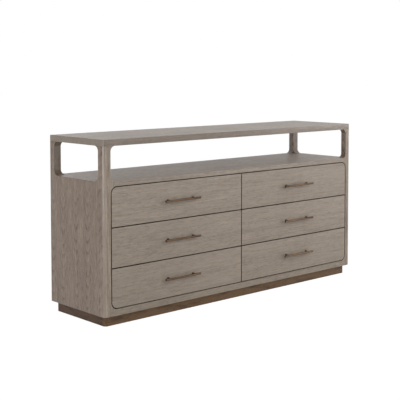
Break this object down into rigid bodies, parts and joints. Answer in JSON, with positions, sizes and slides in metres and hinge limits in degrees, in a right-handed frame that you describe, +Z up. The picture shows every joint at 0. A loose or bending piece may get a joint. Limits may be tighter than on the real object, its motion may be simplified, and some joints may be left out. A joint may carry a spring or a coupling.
{
  "type": "dresser",
  "caption": "Low wide dresser in washed oak with rounded corners: two banks of drawers with bar pulls, an open bay under the top and a recessed bronze plinth.",
  "frame": {"origin": "on the floor, at the middle of the space the dresser takes, its pulls included", "axes": "+X along the width, -Y out of the drawer fronts, +Z up"},
  "size_m": [1.829, 0.489, 0.906],
  "materials": {
    "case_oak": "grey-washed oak veneer, satin lacquer",
    "drawer_oak": "grey-washed oak veneer with the grain laid across, satin lacquer",
    "drawer_box_wood": "clear-lacquered birch boards",
    "inner_wood": "stained plywood inside the case",
    "bronze_lacquer": "metallic bronze lacquer over a wooden plinth",
    "aged_brass": "aged brass, brushed and lacquered",
    "zinc_steel": "bright zinc plating",
    "black_plastic": "moulded black plastic"
  },
  "bodies": {
    "case": {"back_left_post": "case_oak", "back_panel": "case_oak", "back_right_post": "case_oak", "bottom_panel": "inner_wood", "bottom_rail": "case_oak", "case_slide_channels": "zinc_steel", "centre_partition": "inner_wood", "front_left_post": "case_oak", "front_right_post": "case_oak", "left_side_panel": "case_oak", "plinth_back": "bronze_lacquer", "plinth_front": "bronze_lacquer", "plinth_sides": "bronze_lacquer", "right_side_panel": "case_oak", "shelf_panel": "case_oak", "slide_packers": "inner_wood", "support_feet": "black_plastic", "top_panel": "case_oak"},
    "lower_left_drawer": {"lower_left_drawer_bottom": "drawer_box_wood", "lower_left_drawer_box_ends": "drawer_box_wood", "lower_left_drawer_box_sides": "drawer_box_wood", "lower_left_drawer_front": "drawer_oak", "lower_left_drawer_pull": "aged_brass", "lower_left_drawer_pull_screws": "zinc_steel", "lower_left_drawer_slide_members": "zinc_steel"},
    "middle_left_drawer": {"middle_left_drawer_bottom": "drawer_box_wood", "middle_left_drawer_box_ends": "drawer_box_wood", "middle_left_drawer_box_sides": "drawer_box_wood", "middle_left_drawer_front": "drawer_oak", "middle_left_drawer_pull": "aged_brass", "middle_left_drawer_pull_screws": "zinc_steel", "middle_left_drawer_slide_members": "zinc_steel"},
    "upper_left_drawer": {"upper_left_drawer_bottom": "drawer_box_wood", "upper_left_drawer_box_ends": "drawer_box_wood", "upper_left_drawer_box_sides": "drawer_box_wood", "upper_left_drawer_front": "drawer_oak", "upper_left_drawer_pull": "aged_brass", "upper_left_drawer_pull_screws": "zinc_steel", "upper_left_drawer_slide_members": "zinc_steel"},
    "lower_right_drawer": {"lower_right_drawer_bottom": "drawer_box_wood", "lower_right_drawer_box_ends": "drawer_box_wood", "lower_right_drawer_box_sides": "drawer_box_wood", "lower_right_drawer_front": "drawer_oak", "lower_right_drawer_pull": "aged_brass", "lower_right_drawer_pull_screws": "zinc_steel", "lower_right_drawer_slide_members": "zinc_steel"},
    "middle_right_drawer": {"middle_right_drawer_bottom": "drawer_box_wood", "middle_right_drawer_box_ends": "drawer_box_wood", "middle_right_drawer_box_sides": "drawer_box_wood", "middle_right_drawer_front": "drawer_oak", "middle_right_drawer_pull": "aged_brass", "middle_right_drawer_pull_screws": "zinc_steel", "middle_right_drawer_slide_members": "zinc_steel"},
    "upper_right_drawer": {"upper_right_drawer_bottom": "drawer_box_wood", "upper_right_drawer_box_ends": "drawer_box_wood", "upper_right_drawer_box_sides": "drawer_box_wood", "upper_right_drawer_front": "drawer_oak", "upper_right_drawer_pull": "aged_brass", "upper_right_drawer_pull_screws": "zinc_steel", "upper_right_drawer_slide_members": "zinc_steel"}
  },
  "joints": [
    {"name": "lower_left_slide", "type": "slide", "parent": "case", "child": "lower_left_drawer", "axis": [0, -1, 0], "range_m": [0, 0.3]},
    {"name": "middle_left_slide", "type": "slide", "parent": "case", "child": "middle_left_drawer", "axis": [0, -1, 0], "range_m": [0, 0.3]},
    {"name": "upper_left_slide", "type": "slide", "parent": "case", "child": "upper_left_drawer", "axis": [0, -1, 0], "range_m": [0, 0.3]},
    {"name": "lower_right_slide", "type": "slide", "parent": "case", "child": "lower_right_drawer", "axis": [0, -1, 0], "range_m": [0, 0.3]},
    {"name": "middle_right_slide", "type": "slide", "parent": "case", "child": "middle_right_drawer", "axis": [0, -1, 0], "range_m": [0, 0.3]},
    {"name": "upper_right_slide", "type": "slide", "parent": "case", "child": "upper_right_drawer", "axis": [0, -1, 0], "range_m": [0, 0.3]}
  ]
}
